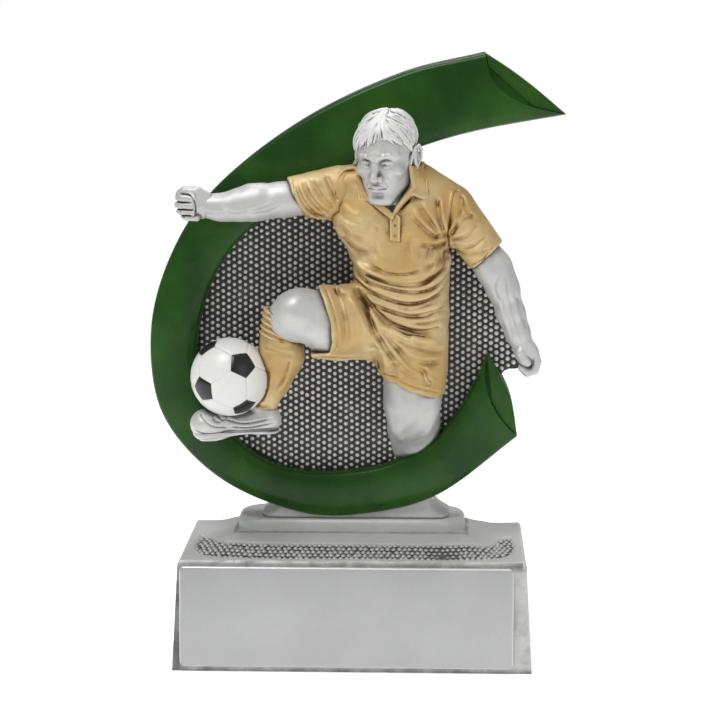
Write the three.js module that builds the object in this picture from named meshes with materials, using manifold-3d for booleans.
// A painted cast-resin football award, in millimetres, +Z up. The front faces -Y and the origin is the centre of the
// base's underside. A sloped plinth carries a two-step pedestal towards its rear edge; a C-shaped green crescent
// stands on the pedestal around a beaded disc; a footballer in high relief stands proud of both and lifts a ball on
// the right boot. Neighbouring castings are separated by GAP, which is the width of the glue line between them.
import * as THREE from "three";
import { mergeVertices } from "three/addons/utils/BufferGeometryUtils.js";
import Module from "manifold-3d";

const wasm = await Module();
wasm.setup();

const GAP = 0.3;
const ROUND_SEGMENTS = 16; // around a limb
const CAP_STEPS = 3; // rings in a limb's round end
const INSET_LIMIT = 0.7; // the part of an outline's local inner radius that a rounded edge may use
const EDGE_ROUND = [[0, 1], [0.29, 0.29], [1, 0]]; // a rounded edge as depth and inset, in parts of its radius

// Driving dimensions.
const PLINTH = { width: 82, depth: 45, topWidth: 79.4, topDepth: 41, height: 25.4 };
const PANEL = { width: 76, height: 23, thickness: 1.2, corner: 1.2, lift: 1.2, side: -1.2 };
const FELT = { margin: 4, thickness: 1.2 };
const BAND = { thickness: 1, sink: 0.2 };
const BAND_SPAN = { halfWidth: 36, halfDepth: 15, front: 9 }; // how the band's recess grows around it
const BUTTONS = { x: 9.4, upper: 101.2, lower: 98.9 };
const LOWER_STEP = { width: 54, front: 0, back: 18, height: 4.8, x: -1, corner: 7 };
const UPPER_STEP = { width: 44, topWidth: 34, front: 1.2, back: 16.5, height: 6.5, x: 0, corner: 2.5 };
const PEG = { width: 14, depth: 7, length: 3 };
const CRESCENT = { front: 0, back: 12, edge: 1.8 };
const DISC = { front: 4.5, back: 9, edge: 0.4 };
const SOLE = { x: -27.4, y: -7.4, length: 19.6, width: 7.2, top: 52.6, thickness: 1.2 };
const BALL = { centre: [-28.4, -9, 65.9], radius: 9 };

const silver = new THREE.MeshStandardMaterial({ color: 0xb9bbbb, roughness: 0.42, metalness: 0.55 });
const skin = new THREE.MeshStandardMaterial({ color: 0xc9cbcd, roughness: 0.5, metalness: 0.35 });
const gold = new THREE.MeshStandardMaterial({ color: 0xc39a54, roughness: 0.45, metalness: 0.45 });
const green = new THREE.MeshStandardMaterial({ color: 0x1d4a14, roughness: 0.22, metalness: 0.15 });
const graphite = new THREE.MeshStandardMaterial({ color: 0x2a2b2b, roughness: 0.45, metalness: 0.5 });
const white = new THREE.MeshStandardMaterial({ color: 0xe9e9e4, roughness: 0.4, metalness: 0 });
const felt = new THREE.MeshStandardMaterial({ color: 0x1f2a22, roughness: 0.95, metalness: 0 });

// ---- Solids ------------------------------------------------------------------------------------------------------

// A closed three.js geometry as a solid, turned right side out if its faces point inwards.
function solidOf(geometry) {
  const bare = geometry.index ? geometry.toNonIndexed() : geometry.clone();
  for (const name of Object.keys(bare.attributes)) if (name !== "position") bare.deleteAttribute(name);
  const merged = mergeVertices(bare, 1e-4);
  const triVerts = new Uint32Array(merged.index.array);
  const make = () =>
    new wasm.Manifold(new wasm.Mesh({ numProp: 3, vertProperties: merged.attributes.position.array, triVerts }));
  const made = make();
  if (made.volume() > 0) return made;
  for (let i = 0; i < triVerts.length; i += 3) {
    const first = triVerts[i];
    triVerts[i] = triVerts[i + 1];
    triVerts[i + 1] = first;
  }
  return make();
}

function geometryOf(solid) {
  const mesh = solid.getMesh();
  const geometry = new THREE.BufferGeometry();
  geometry.setAttribute("position", new THREE.BufferAttribute(new Float32Array(mesh.vertProperties), 3));
  geometry.setIndex(new THREE.BufferAttribute(new Uint32Array(mesh.triVerts), 1));
  geometry.computeVertexNormals();
  return geometry;
}

const joined = (...solids) => solids.reduce((whole, next) => whole.add(next));
const largest = (solid) => solid.decompose().reduce((best, next) => (next.volume() > best.volume() ? next : best));

// An ellipsoid of half-sizes radii, turned by three Euler angles in degrees.
function egg([x, y, z], radii, grow = 0, turn = [0, 0, 0]) {
  const geometry = new THREE.SphereGeometry(1, ROUND_SEGMENTS, 10);
  geometry.scale(...radii.map((r) => r + grow));
  const [rx, ry, rz] = turn.map(THREE.MathUtils.degToRad);
  geometry.applyMatrix4(new THREE.Matrix4().makeRotationFromEuler(new THREE.Euler(rx, ry, rz)));
  return solidOf(geometry.translate(x, y, z));
}

// A round-ended cone from a ball of radius startRadius to one of endRadius. depth flattens it along Y.
function limb(start, startRadius, end, endRadius, grow = 0, depth = 1) {
  const [a, b] = [new THREE.Vector3(...start), new THREE.Vector3(...end)];
  const [ra, rb] = [startRadius + grow, endRadius + grow];
  const axis = b.clone().sub(a);
  const lean = Math.asin((ra - rb) / axis.length());
  const profile = [];
  const arc = (radius, centre, from, to) => {
    for (let i = 0; i <= CAP_STEPS; i++) {
      const angle = from + ((to - from) * i) / CAP_STEPS;
      const onAxis = Math.abs(Math.cos(angle)) < 1e-9;
      profile.push(new THREE.Vector2(onAxis ? 0 : radius * Math.cos(angle), centre + radius * Math.sin(angle)));
    }
  };
  arc(ra, 0, -Math.PI / 2, lean);
  arc(rb, axis.length(), lean, Math.PI / 2);
  const geometry = new THREE.LatheGeometry(profile, ROUND_SEGMENTS);
  const turn = new THREE.Quaternion().setFromUnitVectors(new THREE.Vector3(0, 1, 0), axis.clone().normalize());
  geometry.applyQuaternion(turn).translate(...a.toArray());
  const middle = (a.y + b.y) / 2;
  return solidOf(geometry.translate(0, -middle, 0).scale(1, depth, 1).translate(0, middle, 0));
}

// A chain of round-ended cones through [x, y, z, radius] points.
const chain = (points, grow = 0, depth = 1) =>
  joined(
    ...points.slice(1).map((to, i) => {
      const from = points[i];
      return limb(from.slice(0, 3), from[3], to.slice(0, 3), to[3], grow, depth);
    }),
  );

// A solid cut off flat past a plane. normal points away from what is kept.
function trimmed(solid, [x, y, z], normal, grow) {
  const far = new THREE.BoxGeometry(90, 90, 90).translate(0, 45 + grow, 0);
  const away = new THREE.Vector3(...normal).normalize();
  const turn = new THREE.Quaternion().setFromUnitVectors(new THREE.Vector3(0, 1, 0), away);
  return solid.subtract(solidOf(far.applyQuaternion(turn).translate(x, y, z)));
}

// A block between two heights whose top is a different size from its bottom.
function frustum(width, depth, topWidth, topDepth, height) {
  const geometry = new THREE.BoxGeometry(1, 1, height).translate(0, 0, height / 2);
  const place = geometry.attributes.position;
  for (let i = 0; i < place.count; i++) {
    const top = place.getZ(i) > height / 2;
    place.setX(i, place.getX(i) * (top ? topWidth : width));
    place.setY(i, place.getY(i) * (top ? topDepth : depth));
  }
  return solidOf(geometry);
}

const block = (x0, x1, y0, y1, z0, z1) =>
  solidOf(
    new THREE.BoxGeometry(x1 - x0, y1 - y0, z1 - z0).translate((x0 + x1) / 2, (y0 + y1) / 2, (z0 + z1) / 2),
  );

// For each point of a closed outline: the direction that an inset moves it, and the room that it has before it meets
// the far side, which is the radius of the largest circle that touches the outline there from inside.
function insets(points) {
  const turn = Math.sign(THREE.ShapeUtils.area(points));
  return points.map((point, i) => {
    const before = points.at(i - 1).clone().sub(point).normalize();
    const after = points[(i + 1) % points.length].clone().sub(point).normalize();
    const inward = new THREE.Vector2(-after.y, after.x).add(new THREE.Vector2(before.y, -before.x));
    inward.normalize().multiplyScalar(turn);
    const radii = points.map((other) => {
      const chord = other.clone().sub(point);
      const ahead = 2 * chord.dot(inward);
      return ahead > 1e-6 ? chord.lengthSq() / ahead : Infinity;
    });
    return { inward, room: INSET_LIMIT * Math.min(...radii) };
  });
}

// An outline drawn in X and Z, as a plate from y = front to y = back with its edges rounded by edge.
function plate(shape, front, back, edge, grow = 0, curveSegments = 6) {
  const points = shape.getPoints(curveSegments);
  if (points[0].distanceTo(points.at(-1)) < 1e-6) points.pop();
  const key = (x, z) => `${Math.fround(x)},${Math.fround(z)}`;
  const found = insets(points);
  const insetAt = new Map(points.map((point, i) => [key(point.x, point.y), found[i]]));
  const reach = back - front + 2 * grow;
  const round = EDGE_ROUND.map(([deep, inset]) => [deep * edge, inset * edge]);
  const layers = [...round, ...round.map(([deep, inset]) => [reach - deep, inset]).reverse()];
  const steps = layers.length - 1;
  const geometry = new THREE.ExtrudeGeometry(new THREE.Shape(points), { depth: 1, steps, bevelEnabled: false });
  const place = geometry.attributes.position;
  for (let i = 0; i < place.count; i++) {
    const { inward, room } = insetAt.get(key(place.getX(i), place.getY(i)));
    const [deep, inset] = layers[Math.round(place.getZ(i) * steps)];
    const move = Math.min(inset, room) - grow;
    place.setX(i, place.getX(i) + inward.x * move);
    place.setY(i, place.getY(i) + inward.y * move);
    place.setZ(i, deep);
  }
  return solidOf(geometry.rotateX(Math.PI / 2).translate(0, back + grow, 0));
}

// A closed outline whose sides are smooth curves, meeting at corners. Each side is a list of [x, z].
function outline(...sides) {
  const shape = new THREE.Shape();
  shape.moveTo(...sides[0][0]);
  for (const side of sides) shape.splineThru(side.slice(1).map(([x, z]) => new THREE.Vector2(x, z)));
  return shape;
}

function roundedRectangle(width, depth, radius) {
  const [x, y] = [width / 2, depth / 2];
  const shape = new THREE.Shape();
  shape.moveTo(-x + radius, -y);
  shape.lineTo(x - radius, -y).absarc(x - radius, -y + radius, radius, -Math.PI / 2, 0);
  shape.lineTo(x, y - radius).absarc(x - radius, y - radius, radius, 0, Math.PI / 2);
  shape.lineTo(-x + radius, y).absarc(-x + radius, y - radius, radius, Math.PI / 2, Math.PI);
  shape.lineTo(-x, -y + radius).absarc(-x + radius, -y + radius, radius, Math.PI, 1.5 * Math.PI);
  return shape;
}

// A step of the pedestal: a rounded rectangle drawn up to a narrower top, with a peg below it.
function step({ width, topWidth = width, front, back, height, x, corner }, z, grow) {
  const depth = back - front;
  const geometry = new THREE.ExtrudeGeometry(roundedRectangle(width + 2 * grow, depth + 2 * grow, corner + grow), {
    depth: height + 2 * grow,
    bevelEnabled: false,
    curveSegments: 5,
  });
  const place = geometry.attributes.position;
  for (let i = 0; i < place.count; i++)
    if (place.getZ(i) > height / 2) place.setX(i, (place.getX(i) * topWidth) / width);
  const body = solidOf(geometry.translate(x, (front + back) / 2, z - grow));
  const middle = (front + back) / 2;
  const [halfWidth, halfDepth] = [PEG.width / 2 + grow, PEG.depth / 2 + grow];
  const peg = block(-halfWidth, halfWidth, middle - halfDepth, middle + halfDepth, z - PEG.length - grow, z + 1);
  return body.add(peg);
}

// ---- Pedestal and plinth -----------------------------------------------------------------------------------------

const STEP_Z = PLINTH.height + GAP;
const UPPER_Z = STEP_Z + LOWER_STEP.height + GAP;

function plinth() {
  const body = frustum(PLINTH.width, PLINTH.depth, PLINTH.topWidth, PLINTH.topDepth, PLINTH.height);
  const [x, y] = [PLINTH.width / 2 - FELT.margin, PLINTH.depth / 2 - FELT.margin];
  return body.subtract(block(-x, x, -y, y, -1, FELT.thickness));
}

// The beaded band is let into the plinth's top, in front of the pedestal, with ends that curve back.
const BAND_FRONT = [[-36.5, -7], [-33.5, -14], [-20, -16.2], [0, -16.6], [20, -16.2], [33.5, -14], [37, -7]];
const BAND_BACK = [[37, -7], [30, -2.4], [0, -2.2], [-30, -2.4], [-36.5, -7]];
function beadBand(grow) {
  const depth = BAND.thickness + grow + (grow > 0 ? 1 : 0);
  const settings = { depth, bevelEnabled: false, curveSegments: 4 };
  const [wider, deeper] = [1 + grow / BAND_SPAN.halfWidth, 1 + grow / BAND_SPAN.halfDepth];
  const geometry = new THREE.ExtrudeGeometry(outline(BAND_FRONT, BAND_BACK), settings);
  geometry.translate(0, BAND_SPAN.front, 0).scale(wider, deeper, 1).translate(0, -BAND_SPAN.front, 0);
  return solidOf(geometry.translate(0, 0, PLINTH.height - BAND.sink - BAND.thickness - grow));
}

function feltPad() {
  const [x, y] = [PLINTH.width / 2 - FELT.margin - GAP, PLINTH.depth / 2 - FELT.margin - GAP];
  return block(-x, x, -y, y, 0, FELT.thickness - GAP);
}

// The plain raised panel lies on the plinth's sloped front face.
function namePanel() {
  const slope = Math.atan((PLINTH.depth - PLINTH.topDepth) / 2 / PLINTH.height);
  const geometry = new THREE.ExtrudeGeometry(roundedRectangle(PANEL.width, PANEL.height, PANEL.corner), {
    depth: PANEL.thickness,
    bevelEnabled: false,
    curveSegments: 3,
  });
  geometry.rotateX(Math.PI / 2 - slope);
  const middle = PANEL.lift + PANEL.height / 2;
  const faceY = -PLINTH.depth / 2 + middle * Math.tan(slope);
  return solidOf(geometry.translate(PANEL.side, faceY - GAP, middle));
}

// ---- Crescent and disc -------------------------------------------------------------------------------------------

const OUTER_EDGE = [
  [29.7, 139.4], [10.1, 134.5], [-12.3, 123.9], [-31.7, 109.1], [-42.4, 93.7], [-47.7, 75.2],
  [-45.3, 55.3], [-32.2, 40.1], [-13, 31.9], [3.5, 31.8], [20, 36.6], [38, 50.4],
];
const LOWER_END = [[38, 50.4], [36.8, 58], [34.6, 63.5], [30.9, 70.2]];
const INNER_EDGE = [
  [30.9, 70.2], [28.4, 64.4], [23.4, 55.4], [16.4, 47.8], [3.5, 42.6], [-13, 41.9], [-24.7, 46.6],
  [-32.9, 56.2], [-36.9, 70], [-33, 87], [-23.1, 99.8], [-5.5, 110], [14.5, 117.7], [28.7, 121.8], [48.4, 125.4],
];
const UPPER_END = [[48.4, 125.4], [42, 130.8], [36, 135.3], [29.7, 139.4]];

// The two end facets are separate lens-shaped caps, parted from the crescent along these grooves.
const UPPER_GROOVE = [[28.7, 141], [30.3, 134.6], [33.4, 130.4], [39.4, 126.9], [50, 125]];
const LOWER_GROOVE = [[31.4, 71.6], [29.9, 65.8], [30.8, 60.6], [33.2, 55.2], [39.4, 49.4]];

function crescentPlate(grow) {
  const { front, back, edge } = CRESCENT;
  return plate(outline(OUTER_EDGE, LOWER_END, INNER_EDGE, UPPER_END), front, back, edge, grow, 3);
}

// The space past a groove, out to a far corner. shift moves the groove towards the crescent's body.
function pastGroove(groove, far, shift = 0) {
  const body = new THREE.Vector2(...groove[2]).sub(new THREE.Vector2(...far)).setLength(1.5 * shift);
  const moved = groove.map(([x, z]) => [x + body.x, z + body.y]);
  const shape = outline(moved, [moved.at(-1), far], [far, moved[0]]);
  const geometry = new THREE.ExtrudeGeometry(shape, { depth: 40, bevelEnabled: false, curveSegments: 3 });
  return solidOf(geometry.rotateX(Math.PI / 2).translate(0, 25, 0));
}
const upperCap = (grow) => crescentPlate(grow).intersect(pastGroove(UPPER_GROOVE, [54, 150], grow));
const lowerCap = (grow) => crescentPlate(grow).intersect(pastGroove(LOWER_GROOVE, [60, 66], grow));

function crescent(grow) {
  const middle = (CRESCENT.front + CRESCENT.back) / 2;
  const [halfWidth, halfDepth] = [PEG.width / 2 + grow, PEG.depth / 2 + grow];
  const peg = block(-halfWidth, halfWidth, middle - halfDepth, middle + halfDepth, UPPER_Z - grow, UPPER_Z + 6);
  return crescentPlate(grow).add(peg);
}

// The disc fills the crescent and runs out to the right behind the left arm.
const DISC_EDGE = [
  [-42, 72], [-37, 50], [-18, 38], [6, 37.5], [26, 48], [34, 64.3], [38.6, 66.5], [37.6, 76], [33.6, 88],
  [28, 99], [18, 108], [6, 114.5], [-14, 110], [-34, 94], [-42, 72],
];
const disc = (grow) => plate(outline(DISC_EDGE), DISC.front, DISC.back, DISC.edge, grow, 3);

// ---- Player ------------------------------------------------------------------------------------------------------

const head = (grow) =>
  joined(
    egg([7.2, -5.6, 118.6], [6.6, 7.4, 7.8], grow, [12, 0, -26]),
    egg([5.6, -8, 112.4], [4.7, 5.4, 6.6], grow, [12, 0, -26]),
    egg([14, -4.6, 116.8], [1, 1.7, 2.3], grow, [0, -10, 0]),
  );
const neck = (grow) => limb([9.2, -4.4, 110], 4, [9.6, -3.6, 103], 4.6, grow);

function hair(grow) {
  const cap = egg([7.3, -4.9, 119.2], [7.5, 8, 8.4], grow, [12, 0, -26]);
  const face = egg([4.4, -14.6, 112], [9.4, 8.4, 9.6], 0, [12, 0, -26]);
  return cap.subtract(face).subtract(block(-10, 25, -25, 15, 100, 113.5));
}

const shirt = (grow) =>
  trimmed(
    joined(
      egg([8.8, -2.6, 101], [13.6, 8, 9.4], grow),
      egg([10.9, -2.8, 89], [11.2, 7.8, 14.6], grow),
      limb([-1, -2.8, 107], 4.8, [22.3, -2.6, 104.2], 4.8, grow),
      limb([3, -2.6, 109], 3.4, [15, -2.6, 109.3], 3.6, grow),
    ),
    [0, 0, 84],
    [-0.575, 0, -0.818],
    grow,
  );
const rightSleeve = (grow) =>
  trimmed(limb([-3.5, -3, 107], 5.1, [-16, -3.8, 105.4], 4.8, grow), [-13, 0, 105.6], [-0.88, 0, -0.48], grow);
const leftSleeve = (grow) =>
  trimmed(limb([24.4, -2.6, 102], 5.1, [31.6, -3, 90], 4.7, grow), [30.4, 0, 92.8], [0.69, 0, -0.72], grow);

const rightArm = (grow) => chain([[-13.5, -3.8, 106.4, 3.6], [-23.8, -4, 105.1, 2.9], [-32.2, -4.2, 104.4, 2.8]], grow);
const rightFist = (grow) => egg([-37.5, -4.5, 105.4], [3.9, 3.5, 3.9], grow);
const leftArm = (grow) => chain([[31.4, -2.8, 91.5, 4], [34.4, -2.8, 83, 3.4], [37.6, -3, 75.6, 2.7]], grow);
const leftHand = (grow) => egg([40, -3.4, 70.6], [2.8, 2.9, 4.6], grow, [0, -22, 0]);

const COLLAR_BACK = -5;
const collarFlap = (points, front) => {
  const shape = new THREE.Shape(points.map(([x, z]) => new THREE.Vector2(x, z)));
  return (grow) => plate(shape, front, COLLAR_BACK, 0.15, grow, 1);
};
const leftCollar = collarFlap([[8.8, 103], [13.4, 107.8], [16.9, 106.6], [16.3, 111.8], [14.6, 114.4], [12.2, 112]], -10.4);
const rightCollar = collarFlap([[8.4, 103], [3.6, 106.9], [1.7, 106.8], [0.9, 112.4], [3, 113], [5.4, 108.6]], -11.2);
const placket = (grow) => block(8.5 - grow, 10.3 + grow, -11.4 - grow, -6, 97.5 - grow, 102.9 + grow);

function button(x, z) {
  return (grow) =>
    solidOf(new THREE.CylinderGeometry(0.55 + grow, 0.55 + grow, 0.5, 14).translate(x, -11.4 - GAP - 0.25, z));
}

const waist = (grow) => egg([11, -3, 79], [10.6, 8, 9.4], grow);
const standingLeg = (grow) =>
  trimmed(limb([13.6, -3.4, 76], 7.7, [13.4, -2.8, 58], 7.5, grow), [13.2, 0, 63.6], [-0.36, 0, -0.93], grow);
const kickingLeg = (grow) =>
  trimmed(limb([9, -5, 77], 8.2, [-12, -10, 79.6], 7.9, grow), [-6.6, 0, 78.8], [-0.976, 0, -0.218], grow);
const shorts = (grow) => joined(waist(grow), standingLeg(grow), kickingLeg(grow));
const kickingThigh = (grow) => limb([-2.6, -8.8, 79], 7.1, [-13.2, -11, 81], 5.5, grow);
const standingThigh = (grow) => limb([13.3, -1.6, 62], 6.6, [13.8, 7.4, 46], 5.8, grow);
const sockCuff = (grow) =>
  trimmed(limb([-15.4, -9.6, 80.4], 5, [-16.7, -8.4, 73.6], 4.6, grow), [-15.9, 0, 79.4], [0.6, 0, 0.8], grow);
const sock = (grow) => chain([[-17, -8, 70.6, 4.7], [-18.4, -7, 64.5, 3.7], [-20.6, -6.4, 57.6, 2.5]], grow);
const boot = (grow) =>
  joined(
    chain([[-20.4, -6.6, 55.8, 3], [-27, -7.4, 54.6, 2.8], [-34.2, -8.2, 54.8, 3.2]], grow, 1.2),
    limb([-20.6, -6.4, 57.6], 2.7, [-19.8, -6.4, 55.8], 2.9, grow),
  ).subtract(block(-45, 0, -20, 10, 40, SOLE.top + GAP - grow));
function bootSole() {
  const outlineTop = new THREE.Shape().absellipse(SOLE.x, SOLE.y, SOLE.length / 2, SOLE.width / 2, 0, 2 * Math.PI);
  const settings = { depth: SOLE.thickness, bevelEnabled: false, curveSegments: 10 };
  return solidOf(new THREE.ExtrudeGeometry(outlineTop, settings).translate(0, 0, SOLE.top - SOLE.thickness));
}
const ball = (grow) => {
  const geometry = new THREE.SphereGeometry(BALL.radius + grow, 24, 16);
  return solidOf(geometry.translate(...BALL.centre));
};

// ---- Assembly ----------------------------------------------------------------------------------------------------

const trophy = new THREE.Group();
const claimed = [];

// Adds a piece, cut back by GAP from every piece before it. Crumbs that the cuts leave are dropped.
function add(name, material, make) {
  const whole = claimed.reduce((left, taken) => left.subtract(taken), make(0));
  const mesh = new THREE.Mesh(geometryOf(largest(whole)), material);
  mesh.name = name;
  trophy.add(mesh);
  claimed.push(make(GAP));
}

add("upper_end_cap", green, upperCap);
add("lower_end_cap", green, lowerCap);
add("crescent", green, crescent);
add("beaded_disc", graphite, disc);
add("upper_step", silver, (grow) => step(UPPER_STEP, UPPER_Z, grow));
add("lower_step", silver, (grow) => step(LOWER_STEP, STEP_Z, grow));
add("bead_band", silver, beadBand);
add("base_plinth", silver, plinth);
add("felt_pad", felt, feltPad);
add("name_panel", silver, namePanel);
add("football", white, ball);
add("head", skin, head);
add("neck", skin, neck);
add("hair", skin, hair);
add("shirt_body", gold, shirt);
add("shirt_placket", gold, placket);
add("button_upper", gold, button(BUTTONS.x, BUTTONS.upper));
add("button_lower", gold, button(BUTTONS.x, BUTTONS.lower));
add("left_collar", gold, leftCollar);
add("right_collar", gold, rightCollar);
add("right_sleeve", gold, rightSleeve);
add("left_sleeve", gold, leftSleeve);
add("right_fist", skin, rightFist);
add("right_arm", skin, rightArm);
add("left_hand", skin, leftHand);
add("left_arm", skin, leftArm);
add("shorts", gold, shorts);
add("sock_cuff", gold, sockCuff);
add("kicking_thigh", skin, kickingThigh);
add("sock", gold, sock);
add("boot", skin, boot);
add("boot_sole", skin, bootSole);
add("standing_thigh", skin, standingThigh);

export default trophy;
